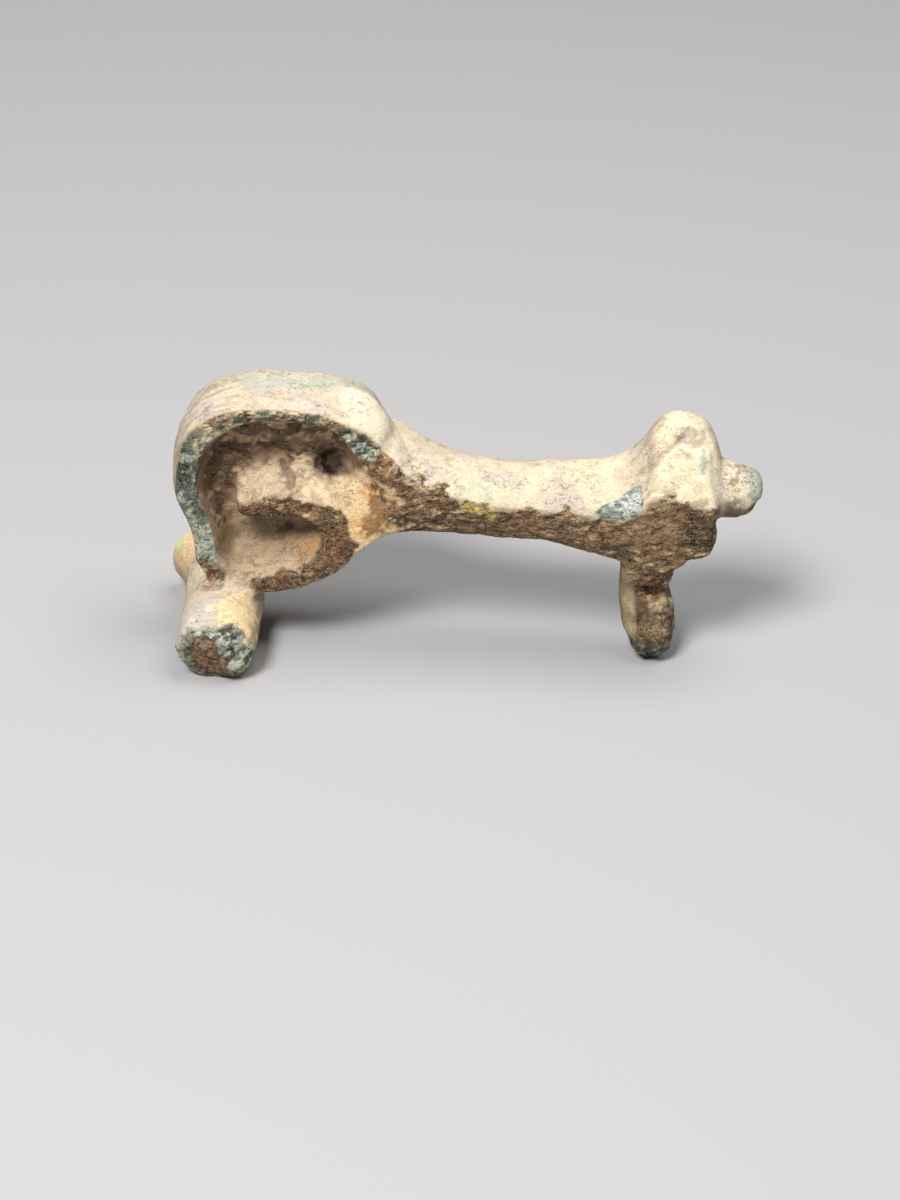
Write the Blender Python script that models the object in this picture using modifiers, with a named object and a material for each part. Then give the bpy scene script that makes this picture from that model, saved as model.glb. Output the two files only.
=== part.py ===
"""A small cast bronze bow brooch of the hinged kind, standing on its crossbar and its catchplate.

The head is at -X and the foot at +X. The side with the nearer crossbar end faces -Y, and +Z is up.
The brooch is one casting, so it is built as one solid. Its pin is lost and is not made.
"""

import math

import bmesh
import bpy
from mathutils import Matrix, Vector

MM = 0.001

# Head: a band that runs from the neck over the top and down to the crossbar, round a thin web
HEAD_LENGTH = 13.4 * MM
HEAD_HEIGHT = 13.8 * MM
HEAD_WIDTH = 5.4 * MM
BAND_THICKNESS = 1.35 * MM
BAND_CROWN = 0.4 * MM
BAND_SPLAY = 0.6 * MM
LOWER_WALL = 1.3 * MM
LOWER_WALL_SPLAY = 1.9 * MM
WEB_THICKNESS = 1.3 * MM

# Scroll: the hook inside the head, with a roof that slopes from its two edges up to the web
SCROLL_THICKNESS = 1.3 * MM
SCROLL_ROOF = 1.9 * MM

# Pit beside the scroll's root, in the web's near face, narrower at its floor
PIT_DIAMETER = 2.0 * MM
PIT_FLOOR_DIAMETER = 1.2 * MM
PIT_DEPTH = 0.85 * MM

# Bow: a bar with a crowned top face, two crisp ridges and a narrower underside
BOW_LENGTH = 15.8 * MM
BOW_WIDTH = 5.5 * MM
BOW_UNDERSIDE_WIDTH = 3.5 * MM
BOW_THICKNESS = 4.3 * MM
BOW_CLEARANCE = 8.9 * MM

# Foot: a block with a rounded crest, and a short knob on its end
FOOT_LENGTH = 5.0 * MM
FOOT_WIDTH = 5.9 * MM
FOOT_UNDERSIDE_WIDTH = 4.4 * MM
FOOT_CREST = 8.9 * MM
KNOB_DIAMETER = 3.9 * MM
KNOB_LENGTH = 2.7 * MM
KNOB_DROOP = math.radians(10)

# Catchplate: the leg under the foot, with its lip curled up towards -Y
LEG_LENGTH = 3.75 * MM
LEG_THICKNESS = 3.0 * MM
CATCH_SLOT = 0.35 * MM
CATCH_SLOT_DEPTH = 0.7 * MM
CATCH_SLOT_HEIGHT = 3.3 * MM

# Crossbar: the round bar under the head, broken off at both ends, the far arm bent towards -X
BAR_DIAMETER = 4.95 * MM
NEAR_ARM = 6.8 * MM
FAR_ARM = 5.2 * MM
FAR_ARM_SWEEP = 2.0 * MM
NEAR_BREAK_SLANT = math.radians(9)
NEAR_BREAK_LEAN = math.radians(9)
FAR_BREAK_SLANT = math.radians(-18)

# Skin of the casting, and the flats that wear has left where it stands
SKIN_CELL = 0.2 * MM
SMOOTHING_PASSES = 2
TRIANGLES_WANTED = 8600
STANDING_FLAT = 0.1 * MM

# How far one form reaches into the next
JOIN_OVERLAP = 0.5 * MM

# Points this close are one point, and edges this short are closed up after a cut
SAME_POINT = 0.001 * MM
SLIVER = 0.005 * MM

# Places that follow from the sizes
HEAD_LEFT = -(HEAD_LENGTH + BOW_LENGTH + FOOT_LENGTH + KNOB_LENGTH) / 2
HEAD_BASE = BAR_DIAMETER - JOIN_OVERLAP
NECK_X = HEAD_LEFT + HEAD_LENGTH
FOOT_X = NECK_X + BOW_LENGTH
FOOT_END = FOOT_X + FOOT_LENGTH
BAR_X = HEAD_LEFT + 0.235 * HEAD_LENGTH
LEG_X = FOOT_X - 0.14 * FOOT_LENGTH

# Outlines inside the head: (along, up) as shares of its length and height, then the wall's thickness and
# width as shares of the full ones. The band's outer face runs from the neck round to the crossbar, and
# the lower wall's from the neck to the crossbar
BAND_OUTLINE = [(1.09, 0.66, 1.20, 1), (1.025, 0.755, 1.35, 1), (0.985, 0.833, 1.45, 1),
                (0.94, 0.90, 1.45, 1), (0.866, 0.957, 1.25, 1), (0.74, 0.989, 0.95, 1),
                (0.582, 1.00, 0.80, 1), (0.418, 1.00, 0.82, 1), (0.30, 0.985, 0.95, 1),
                (0.18, 0.94, 1.15, 1), (0.085, 0.86, 1.25, 1), (0.028, 0.755, 1.25, 1),
                (0.00, 0.623, 1.25, 1), (0.00, 0.50, 1.25, 1), (0.045, 0.384, 1.20, 1),
                (0.082, 0.268, 1.25, 1), (0.112, 0.167, 1.30, 1), (0.157, 0.087, 1.30, 1),
                (0.194, 0.014, 1.30, 1)]
LOWER_OUTLINE = [(1.10, 0.38, 1, 0.76), (1.03, 0.345, 1, 0.86), (0.98, 0.315, 1, 0.94), (0.94, 0.286, 1, 1),
                 (0.873, 0.232, 1, 1), (0.828, 0.167, 1, 1), (0.754, 0.109, 1, 1), (0.65, 0.05, 1, 1),
                 (0.52, 0.01, 1, 1), (0.36, -0.015, 1, 1), (0.20, 0.0, 1, 1)]

# Middle line of the scroll from its root to its tip, then its thickness and its roof as shares of the
# full ones
SCROLL_LINE = [(0.784, 0.217, 1.5, 0.0), (0.784, 0.312, 1.5, 0.2), (0.746, 0.384, 1.2, 0.7),
               (0.687, 0.442, 1.1, 1.0), (0.619, 0.478, 1.1, 1.0), (0.545, 0.475, 1.2, 1.0),
               (0.433, 0.460, 0.9, 1.0), (0.315, 0.442, 0.55, 1.0)]

# Slope between the scroll's root and the neck: (along, low edge, front edge, top edge) as shares of the
# head, then the front and the top half-width as shares of the head's
SLOPE_STATIONS = [(0.627, 0.42, 0.49, 0.645, 0.95, 0.25), (0.70, 0.33, 0.457, 0.625, 0.97, 0.25),
                  (0.784, 0.19, 0.40, 0.605, 0.97, 0.28), (0.85, 0.217, 0.345, 0.60, 0.94, 0.32),
                  (0.91, 0.275, 0.335, 0.616, 0.90, 0.42), (0.97, 0.31, 0.37, 0.65, 0.90, 0.62),
                  (1.03, 0.34, 0.43, 0.70, 0.92, 0.84), (1.09, 0.38, 0.50, 0.70, 0.88, 0.90)]
PIT_PLACE = (0.757, 0.645)

# Bow stations: (along, crown, ridge, underside) as shares of the bow, then the girth at the ridge and at
# the underside, and how full the crown is: 2 is a round crown and 1 a straight-sided crest
BOW_STATIONS = [(-0.02, 1.50, 1.42, 0.00, 0.86, 1.20, 2.0), (0.03, 1.46, 1.36, 0.01, 0.94, 1.22, 2.0),
                (0.07, 1.38, 1.25, 0.03, 0.98, 1.18, 2.0), (0.12, 1.30, 1.11, 0.05, 1.00, 1.10, 2.0),
                (0.18, 1.22, 0.98, 0.05, 1.00, 1.04, 2.0), (0.30, 1.09, 0.81, 0.02, 1.00, 1.00, 2.0),
                (0.46, 1.01, 0.69, 0.00, 1.00, 1.00, 2.0), (0.65, 1.01, 0.68, -0.03, 1.00, 1.00, 2.0),
                (0.85, 1.10, 0.62, -0.20, 1.00, 1.00, 1.8), (0.955, 1.28, 0.66, -0.32, 1.02, 1.02, 1.5)]

# Foot stations: the same seven, with the heights as shares of the foot's crest
FOOT_STATIONS = [(0.04, 0.73, 0.40, -0.19, 0.98, 0.98, 1.3), (0.17, 0.88, 0.45, -0.22, 1.00, 1.00, 1.2),
                 (0.35, 0.985, 0.46, -0.22, 1.00, 1.00, 1.15), (0.59, 1.00, 0.45, -0.15, 1.00, 1.00, 1.15),
                 (0.77, 0.95, 0.43, -0.04, 0.98, 0.98, 1.15), (0.90, 0.82, 0.41, 0.03, 0.92, 0.92, 1.2),
                 (0.98, 0.70, 0.39, 0.10, 0.80, 0.80, 1.3)]

# Leg sections: height as a share of the leg's, then left, right, near and far edges as shares of its
# length and thickness
LEG_SECTIONS = [(1.00, 0.00, 1.06, 0.80, 0.62), (0.83, 0.00, 0.94, 0.74, 0.54), (0.73, 0.00, 0.91, 0.62, 0.46),
                (0.62, 0.00, 0.87, 0.44, 0.42), (0.53, 0.01, 0.94, 0.62, 0.36), (0.42, 0.05, 1.00, 0.75, 0.30),
                (0.30, 0.12, 1.02, 0.78, 0.26), (0.19, 0.27, 0.95, 0.74, 0.20), (0.09, 0.42, 0.84, 0.60, 0.10),
                (0.00, 0.54, 0.74, 0.42, -0.08)]


def clear_scene():
    """Remove whatever the startup file holds."""
    for thing in list(bpy.data.objects):
        bpy.data.objects.remove(thing, do_unlink=True)


def new_collection(name):
    """Add a collection to the scene."""
    collection = bpy.data.collections.new(name)
    bpy.context.scene.collection.children.link(collection)
    return collection


def move_to(thing, collection):
    """Keep an object in one collection only."""
    for owner in list(thing.users_collection):
        owner.objects.unlink(thing)
    collection.objects.link(thing)


def on_head(along, up):
    """Turn shares of the head into a place in the XZ plane."""
    return (HEAD_LEFT + along * HEAD_LENGTH, HEAD_BASE + up * HEAD_HEIGHT)


def fill_in(rows, steps):
    """Add rows between the given rows of numbers, on smooth curves through them."""
    filled = []
    for index in range(len(rows) - 1):
        before, start = rows[max(index - 1, 0)], rows[index]
        end, after = rows[index + 1], rows[min(index + 2, len(rows) - 1)]
        for step in range(steps):
            t = step / steps
            filled.append(tuple(
                b + 0.5 * t * (c - a + t * (2 * a - 5 * b + 4 * c - d + t * (3 * b - a - 3 * c + d)))
                for a, b, c, d in zip(before, start, end, after)))
    filled.append(tuple(rows[-1]))
    return filled


def to_mesh(thing, collection):
    """Replace an object by its evaluated mesh, at the same place."""
    bpy.context.view_layer.update()
    name = thing.name
    evaluated = thing.evaluated_get(bpy.context.evaluated_depsgraph_get())
    mesh = bpy.data.meshes.new_from_object(evaluated)
    mesh.transform(thing.matrix_world)
    bpy.data.objects.remove(thing, do_unlink=True)
    work = bmesh.new()
    work.from_mesh(mesh)
    bmesh.ops.remove_doubles(work, verts=work.verts, dist=SAME_POINT)
    bmesh.ops.dissolve_degenerate(work, edges=work.edges, dist=SLIVER)
    bmesh.ops.recalc_face_normals(work, faces=work.faces)
    work.to_mesh(mesh)
    work.free()
    solid = bpy.data.objects.new(name, mesh)
    collection.objects.link(solid)
    return solid


def loft(name, rings, collection):
    """Join rings of as many points each into one closed skin with two flat ends."""
    work = bmesh.new()
    rows = [[work.verts.new(point) for point in ring] for ring in rings]
    for row, after in zip(rows, rows[1:]):
        for index in range(len(row)):
            step = (index + 1) % len(row)
            work.faces.new((row[index], row[step], after[step], after[index]))
    work.faces.new(rows[0])
    work.faces.new(rows[-1])
    bmesh.ops.recalc_face_normals(work, faces=work.faces)
    mesh = bpy.data.meshes.new(name)
    work.to_mesh(mesh)
    work.free()
    solid = bpy.data.objects.new(name, mesh)
    collection.objects.link(solid)
    return solid


def frames_along(line):
    """Places along a line of the head, each with its direction away from the head's middle."""
    middle = Vector(on_head(0.5, 0.4))
    places = [Vector(on_head(row[0], row[1])) for row in line]
    frames = []
    for index, place in enumerate(places):
        before = places[max(index - 1, 0)]
        after = places[min(index + 1, len(places) - 1)]
        along = (after - before).normalized()
        outward = Vector((along.y, -along.x))
        if outward.dot(place - middle) < 0:
            outward.negate()
        frames.append((place, outward))
    return frames


def wall_along(name, outline, full_thickness, crown, splay, collection):
    """A wall about as wide as the head, its outer face crowned and its inner face splayed to the web."""
    half_web = WEB_THICKNESS / 2
    line = fill_in(outline, 4)
    rings = []
    for (place, outward), row in zip(frames_along(line), line):
        thickness = row[2] * full_thickness
        half = row[3] * HEAD_WIDTH / 2
        section = [(-half, -thickness), (-half_web, -thickness - splay), (half_web, -thickness - splay),
                   (half, -thickness), (half, -crown), (0.6 * half, -0.36 * crown), (0, 0),
                   (-0.6 * half, -0.36 * crown), (-half, -crown)]
        rings.append([(place.x + out * outward.x, side, place.y + out * outward.y) for side, out in section])
    return loft(name, rings, collection)


def build_scroll(collection):
    """The hook, a wall as wide as the head with a roof on its outer side up to the web."""
    half = HEAD_WIDTH / 2
    half_web = WEB_THICKNESS / 2
    line = fill_in(SCROLL_LINE, 4)
    rings = []
    for (place, outward), row in zip(frames_along(line), line):
        wall = row[2] * SCROLL_THICKNESS / 2
        peak = wall + row[3] * SCROLL_ROOF
        section = [(-half, -wall), (half, -wall), (half, wall), (half_web, peak), (-half_web, peak),
                   (-half, wall)]
        rings.append([(place.x + out * outward.x, side, place.y + out * outward.y) for side, out in section])
    return loft("scroll", rings, collection)


def build_slope(collection):
    """The wedge from the scroll's root to the neck, wide at its front edge and narrow at the web."""
    half = HEAD_WIDTH / 2
    rings = []
    for along, low, front, top, wide, narrow in fill_in(SLOPE_STATIONS, 3):
        x, low_z = on_head(along, low)
        front_z = on_head(along, front)[1]
        top_z = on_head(along, top)[1]
        rings.append([(x, -0.9 * wide * half, low_z), (x, 0.9 * wide * half, low_z), (x, wide * half, front_z),
                      (x, narrow * half, top_z), (x, -narrow * half, top_z), (x, -wide * half, front_z)])
    return loft("slope", rings, collection)


def build_head(collection):
    """The web, the band round it, the lower wall, the scroll and the slope to the neck."""
    outline = [on_head(*row[:2]) for row in fill_in(BAND_OUTLINE, 2) + fill_in(LOWER_OUTLINE, 2)[::-1]]
    curve = bpy.data.curves.new("web", "CURVE")
    curve.dimensions = "2D"
    curve.fill_mode = "BOTH"
    curve.extrude = WEB_THICKNESS / 2
    spline = curve.splines.new("POLY")
    spline.points.add(len(outline) - 1)
    for point, (x, z) in zip(spline.points, outline):
        point.co = (x, z, 0, 1)
    spline.use_cyclic_u = True
    web = bpy.data.objects.new("web", curve)
    web.rotation_euler = (math.pi / 2, 0, 0)
    collection.objects.link(web)
    return [to_mesh(web, collection),
            wall_along("band", BAND_OUTLINE, BAND_THICKNESS, BAND_CROWN, BAND_SPLAY, collection),
            wall_along("lower wall", LOWER_OUTLINE, LOWER_WALL, 0, LOWER_WALL_SPLAY, collection),
            build_scroll(collection),
            build_slope(collection)]


def bar_section(x, crown, ridge, underside, half_width, half_underside, fullness):
    """A ring across the bow or the foot: a crown between two ridges, over a narrower underside."""
    blunt = 0.15
    rise = math.hypot(1, blunt) - blunt
    flank = (ridge + underside) / 2
    half_flank = half_underside + 0.65 * (half_width - half_underside)
    right = []
    for share in (0.15, 0.32, 0.5, 0.68, 0.85, 1):
        fall = ((math.hypot(share, blunt) - blunt) / rise) ** fullness
        right.append((x, share * half_width, crown - (crown - ridge) * fall))
    right += [(x, half_flank, flank), (x, half_underside, underside)]
    left = [(x, -y, z) for x, y, z in reversed(right)]
    return [(x, 0, crown)] + right + left


def build_bow_and_foot(collection):
    """One loft from inside the head, along the bow and over the crest of the foot."""
    stations = []
    for start, length, rise, width, underside_width, rows in (
            (NECK_X, BOW_LENGTH, BOW_THICKNESS, BOW_WIDTH, BOW_UNDERSIDE_WIDTH, BOW_STATIONS),
            (FOOT_X, FOOT_LENGTH, FOOT_CREST, FOOT_WIDTH, FOOT_UNDERSIDE_WIDTH, FOOT_STATIONS)):
        for along, crown, ridge, underside, girth, underside_girth, fullness in rows:
            heights = [BOW_CLEARANCE + share * rise for share in (crown, ridge, underside)]
            stations.append((start + along * length, *heights, girth * width / 2,
                             underside_girth * underside_width / 2, fullness))
    rings = [bar_section(*station) for station in fill_in(stations, 4)]
    return loft("bow and foot", rings, collection)


def build_knob(collection):
    """A stub on the foot's end face, pointing a little down."""
    root = FOOT_END - 2 * JOIN_OVERLAP
    reach = KNOB_LENGTH + 2 * JOIN_OVERLAP
    height = BOW_CLEARANCE + 0.395 * FOOT_CREST
    bpy.ops.mesh.primitive_cone_add(vertices=32, radius1=0.52 * KNOB_DIAMETER, radius2=0.4 * KNOB_DIAMETER,
                                    depth=reach, location=(root + reach / 2, 0, height),
                                    rotation=(0, math.pi / 2 + KNOB_DROOP, 0))
    knob = bpy.context.object
    knob.name = "knob"
    edge = knob.modifiers.new("edge", "BEVEL")
    edge.width = 0.22 * KNOB_DIAMETER
    edge.segments = 3
    return to_mesh(knob, collection)


def rounded_ring(left, right, near, far, height):
    """A level ring of sixteen points with rounded corners."""
    middle_x, middle_y = (left + right) / 2, (near + far) / 2
    half_x, half_y = (right - left) / 2, (far - near) / 2
    squareness = 3
    ring = []
    for index in range(16):
        turn = 2 * math.pi * index / 16
        across, deep = math.cos(turn), math.sin(turn)
        reach = (abs(across) ** squareness + abs(deep) ** squareness) ** (-1 / squareness)
        ring.append((middle_x + half_x * reach * across, middle_y + half_y * reach * deep, height))
    return ring


def build_leg(collection):
    """The catchplate's leg, from inside the foot down to the ground."""
    height = BOW_CLEARANCE - JOIN_OVERLAP
    rings = [rounded_ring(LEG_X + left * LEG_LENGTH, LEG_X + right * LEG_LENGTH, -near * LEG_THICKNESS,
                          far * LEG_THICKNESS, up * height - STANDING_FLAT)
             for up, left, right, near, far in fill_in(LEG_SECTIONS, 3)]
    return loft("leg", rings, collection)


def build_crossbar(collection):
    """The round bar, a little longer at both ends than the breaks leave it."""
    level = BAR_DIAMETER / 2 - STANDING_FLAT
    spare = BAR_DIAMETER / 2
    knots = [(BAR_X, -NEAR_ARM - spare, 0.98), (BAR_X, -NEAR_ARM / 2, 1.03), (BAR_X, 0, 1.03),
             (BAR_X - 0.3 * FAR_ARM_SWEEP, FAR_ARM / 2, 0.97),
             (BAR_X - FAR_ARM_SWEEP, FAR_ARM, 0.94),
             (BAR_X - 1.7 * FAR_ARM_SWEEP, FAR_ARM + spare, 0.92)]
    curve = bpy.data.curves.new("crossbar", "CURVE")
    curve.dimensions = "3D"
    curve.bevel_depth = BAR_DIAMETER / 2
    curve.bevel_resolution = 6
    curve.use_fill_caps = True
    curve.resolution_u = 6
    spline = curve.splines.new("BEZIER")
    spline.bezier_points.add(len(knots) - 1)
    for knot, (x, y, girth) in zip(spline.bezier_points, knots):
        knot.co = (x, y, level * girth)
        knot.radius = girth
        knot.handle_left_type = "AUTO"
        knot.handle_right_type = "AUTO"
    bar = bpy.data.objects.new("crossbar", curve)
    collection.objects.link(bar)
    return to_mesh(bar, collection)


def hide_cutter(cutter, name, collection):
    """Name a cutter and keep it out of sight."""
    cutter.name = name
    move_to(cutter, collection)
    cutter.hide_render = True
    cutter.display_type = "WIRE"
    return cutter


def add_block(name, size, place, turn, collection):
    """A block that cuts the casting."""
    bpy.ops.mesh.primitive_cube_add(size=1, location=place, rotation=turn)
    block = bpy.context.object
    block.data.transform(Matrix.Diagonal((*size, 1)))
    return hide_cutter(block, name, collection)


def add_cutters(collection):
    """The two breaks of the crossbar, the catch's slot and the pit in the web."""
    size = 3 * BAR_DIAMETER
    level = BAR_DIAMETER / 2
    cutters = [
        add_block("near break", (size, size, size), (BAR_X, -NEAR_ARM - size / 2, level),
                  (NEAR_BREAK_LEAN, 0, -NEAR_BREAK_SLANT), collection),
        add_block("far break", (size, size, size), (BAR_X - FAR_ARM_SWEEP, FAR_ARM + size / 2, level),
                  (0, 0, -FAR_BREAK_SLANT), collection),
        add_block("catch slot", (2 * LEG_LENGTH, 2 * CATCH_SLOT_DEPTH, CATCH_SLOT),
                  (LEG_X + LEG_LENGTH, -0.77 * LEG_THICKNESS, CATCH_SLOT_HEIGHT), (math.radians(-20), 0, 0),
                  collection)]
    pit_x, pit_z = on_head(*PIT_PLACE)
    floor = PIT_DEPTH - WEB_THICKNESS / 2
    bpy.ops.mesh.primitive_cone_add(vertices=20, radius1=PIT_DIAMETER - PIT_FLOOR_DIAMETER / 2,
                                    radius2=PIT_FLOOR_DIAMETER / 2, depth=2 * PIT_DEPTH,
                                    location=(pit_x, floor - PIT_DEPTH, pit_z),
                                    rotation=(-math.pi / 2, 0, 0))
    cutters.append(hide_cutter(bpy.context.object, "pit", collection))
    return cutters


def fuse(pieces, name, collection):
    """Melt overlapping forms into one even skin."""
    work = bmesh.new()
    for piece in pieces:
        work.from_mesh(piece.data)
        bpy.data.objects.remove(piece, do_unlink=True)
    mesh = bpy.data.meshes.new(name)
    work.to_mesh(mesh)
    work.free()
    casting = bpy.data.objects.new(name, mesh)
    collection.objects.link(casting)
    skin = casting.modifiers.new("skin", "REMESH")
    skin.mode = "VOXEL"
    skin.voxel_size = SKIN_CELL
    soften = casting.modifiers.new("soften", "SMOOTH")
    soften.factor = 0.5
    soften.iterations = SMOOTHING_PASSES
    return to_mesh(casting, collection)


def cut(casting, cutters, collection):
    """Take each cutter away from the casting."""
    for cutter in cutters:
        bite = casting.modifiers.new(cutter.name, "BOOLEAN")
        bite.operation = "DIFFERENCE"
        bite.solver = "EXACT"
        bite.object = cutter
    return to_mesh(casting, collection)


def thin_out(casting, wanted, collection):
    """Keep about the wanted number of triangles, most of them where the form bends."""
    casting.data.calc_loop_triangles()
    have = len(casting.data.loop_triangles)
    fewer = casting.modifiers.new("fewer", "DECIMATE")
    fewer.ratio = min(1, wanted / have)
    fewer.use_collapse_triangulate = True
    return to_mesh(casting, collection)


def stand_on_origin(casting):
    """Move the casting so that the middle of its box's underside is the origin."""
    corners = [vertex.co for vertex in casting.data.vertices]
    middle_x = (min(c.x for c in corners) + max(c.x for c in corners)) / 2
    middle_y = (min(c.y for c in corners) + max(c.y for c in corners)) / 2
    bottom = min(c.z for c in corners)
    casting.data.transform(Matrix.Translation((-middle_x, -middle_y, -bottom)))


def bronze():
    """Patinated bronze, as one plain finish."""
    material = bpy.data.materials.new("patinated_bronze")
    material.use_nodes = True
    shader = material.node_tree.nodes["Principled BSDF"]
    shader.inputs["Base Color"].default_value = (0.36, 0.27, 0.17, 1)
    shader.inputs["Roughness"].default_value = 0.75
    shader.inputs["Metallic"].default_value = 0.25
    return material


def build():
    """Make the brooch."""
    clear_scene()
    made = new_collection("fibula_brooch")
    tools = new_collection("cutters")
    pieces = build_head(made) + [build_bow_and_foot(made), build_knob(made), build_leg(made),
                                 build_crossbar(made)]
    casting = fuse(pieces, "brooch_casting", made)
    casting = cut(casting, add_cutters(tools), made)
    casting = thin_out(casting, TRIANGLES_WANTED, made)
    ground_size = 4 * (HEAD_LENGTH + BOW_LENGTH)
    ground = add_block("ground", (ground_size, ground_size, BAR_DIAMETER), (0, 0, -BAR_DIAMETER / 2),
                       (0, 0, 0), tools)
    casting = cut(casting, [ground], made)
    stand_on_origin(casting)
    casting.data.materials.clear()
    casting.data.materials.append(bronze())
    casting.data.shade_smooth()
    casting.data.set_sharp_from_angle(angle=math.radians(40))


build()
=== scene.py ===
import math

import bpy
import numpy as np
from mathutils import Matrix, Vector, noise


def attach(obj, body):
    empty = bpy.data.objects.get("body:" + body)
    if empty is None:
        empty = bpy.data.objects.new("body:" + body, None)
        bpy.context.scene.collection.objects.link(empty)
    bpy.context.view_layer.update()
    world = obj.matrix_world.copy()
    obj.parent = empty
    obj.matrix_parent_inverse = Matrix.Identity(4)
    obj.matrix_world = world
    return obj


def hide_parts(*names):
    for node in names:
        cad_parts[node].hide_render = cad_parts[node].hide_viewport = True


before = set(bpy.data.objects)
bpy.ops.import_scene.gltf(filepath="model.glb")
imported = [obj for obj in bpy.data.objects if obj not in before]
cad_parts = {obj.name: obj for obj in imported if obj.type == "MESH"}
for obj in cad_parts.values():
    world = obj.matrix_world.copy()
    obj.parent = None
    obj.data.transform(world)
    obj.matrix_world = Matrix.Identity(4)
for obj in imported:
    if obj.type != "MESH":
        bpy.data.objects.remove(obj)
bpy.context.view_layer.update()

# The brooch: one bronze casting with its head, bow, foot, catchplate leg and both stumps of the crossbar.
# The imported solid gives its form. Its skin is remade here in a fine grain, then worked over as casting,
# wear, breaks and centuries in the ground have left it. Its sizes and places are in millimetres.
MM = 0.001
SKIN_GRAIN = 0.135
MIDDLE_Y = 0.767
ARM_RADIUS = 2.45

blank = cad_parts["brooch_casting"]
brooch = bpy.data.objects.new("brooch", blank.data.copy())
bpy.context.scene.collection.objects.link(brooch)
bpy.ops.object.select_all(action="DESELECT")
bpy.context.view_layer.objects.active = brooch
brooch.select_set(True)
bpy.ops.object.mode_set(mode="EDIT")
bpy.ops.mesh.select_all(action="SELECT")
bpy.ops.mesh.remove_doubles(threshold=0.001 * MM)
bpy.ops.object.mode_set(mode="OBJECT")
skin = brooch.data


def remade(smoothing):
    """Remakes the skin in an even grain. Returns where its points lie, which pairs of them are neighbours,
    how many points there are, and how many neighbours each one has."""
    for kind, settings in (("REMESH", {"mode": "VOXEL", "voxel_size": SKIN_GRAIN * MM}),
                           ("SMOOTH", {"factor": 0.5, "iterations": smoothing})):
        step = brooch.modifiers.new(kind.lower(), kind)
        for setting, value in settings.items():
            setattr(step, setting, value)
        bpy.ops.object.modifier_apply(modifier=step.name)
    points = len(skin.vertices)
    at = np.empty(points * 3)
    skin.vertices.foreach_get("co", at)
    ends = np.empty(len(skin.edges) * 2, int)
    skin.edges.foreach_get("vertices", ends)
    return at.reshape(-1, 3) / MM, ends.reshape(-1, 2), points, np.bincount(ends, minlength=points)


places, links, count, degree = remade(6)


def evened(values, passes):
    """Each point's value after it has moved half way to the mean of its neighbours, that many times."""
    values = values.copy()
    for _ in range(passes):
        for column in values.reshape(count, -1).T:
            total = np.bincount(links[:, 0], column[links[:, 1]], count)
            total += np.bincount(links[:, 1], column[links[:, 0]], count)
            column += 0.5 * (total / degree - column)
    return values


def outward():
    """Moves the skin to the places as they are now. Returns the direction that it faces at each point."""
    skin.vertices.foreach_set("co", (places * MM).ravel())
    skin.update()
    facing = np.empty(count * 3, np.float32)
    skin.vertex_normals.foreach_get("vector", facing)
    return facing.reshape(-1, 3).astype(float)


def fade(values, low, high):
    """0 at low and beyond it, 1 at high and beyond it, with a soft step between."""
    share = np.clip((values - low) / (high - low), 0, 1)
    return share * share * (3 - 2 * share)


def grain(size, octaves=3, seed=0, stretch=(1, 1, 1)):
    """Uneven relief from about -1 to 1, with bumps of that size. Each seed takes it from another place."""
    at = places / (size * np.array(stretch)) + 31.7 * (seed + 1)
    return np.array([noise.fractal(place, 1.0, 2.0, octaves) for place in at.tolist()]) * 1.6


def near(line, reach, both_sides=False):
    """1 on a line of places, or at one place, fading to 0 at its reach. On the far side too, if asked."""
    at = places.copy()
    if both_sides:
        at[:, 1] = MIDDLE_Y - np.abs(at[:, 1] - MIDDLE_Y)
    line = [np.array(place, float) for place in line]
    away = np.full(count, np.inf)
    for start, end in zip(line, line[1:] or line):
        run = end - start
        along = np.clip((at - start) @ run / max(run @ run, 1e-9), 0, 1)
        away = np.minimum(away, np.linalg.norm(at - start - along[:, None] * run, axis=1))
    return fade(away, reach, 0)


def within(outline, ragged=0.15, soft=0.1):
    """1 inside an outline drawn from the side, in X and Z, with a ragged, soft edge."""
    x = places[:, 0] + ragged * grain(0.9, 3, 70)
    z = places[:, 2] + ragged * grain(0.9, 3, 71)
    inside = np.zeros(count, bool)
    away = np.full(count, np.inf)
    for (ax, az), (bx, bz) in zip(outline, outline[1:] + outline[:1]):
        inside ^= ((az > z) != (bz > z)) & (x < (bx - ax) * (z - az) / (bz - az + 1e-12) + ax)
        squared = (bx - ax) ** 2 + (bz - az) ** 2
        along = np.clip(((x - ax) * (bx - ax) + (z - az) * (bz - az)) / squared, 0, 1)
        away = np.minimum(away, np.hypot(x - ax - along * (bx - ax), z - az - along * (bz - az)))
    return fade(np.where(inside, away, -away), -soft, soft)


def broken(at, direction, reach):
    """The places after a flat break there, facing that direction, has taken what stood beyond it."""
    direction = np.array(direction, float) / np.linalg.norm(direction)
    beyond = np.clip((places - at) @ direction, 0, None)
    beyond[np.linalg.norm(places - at, axis=1) > reach] = 0
    return places - beyond[:, None] * direction


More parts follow.
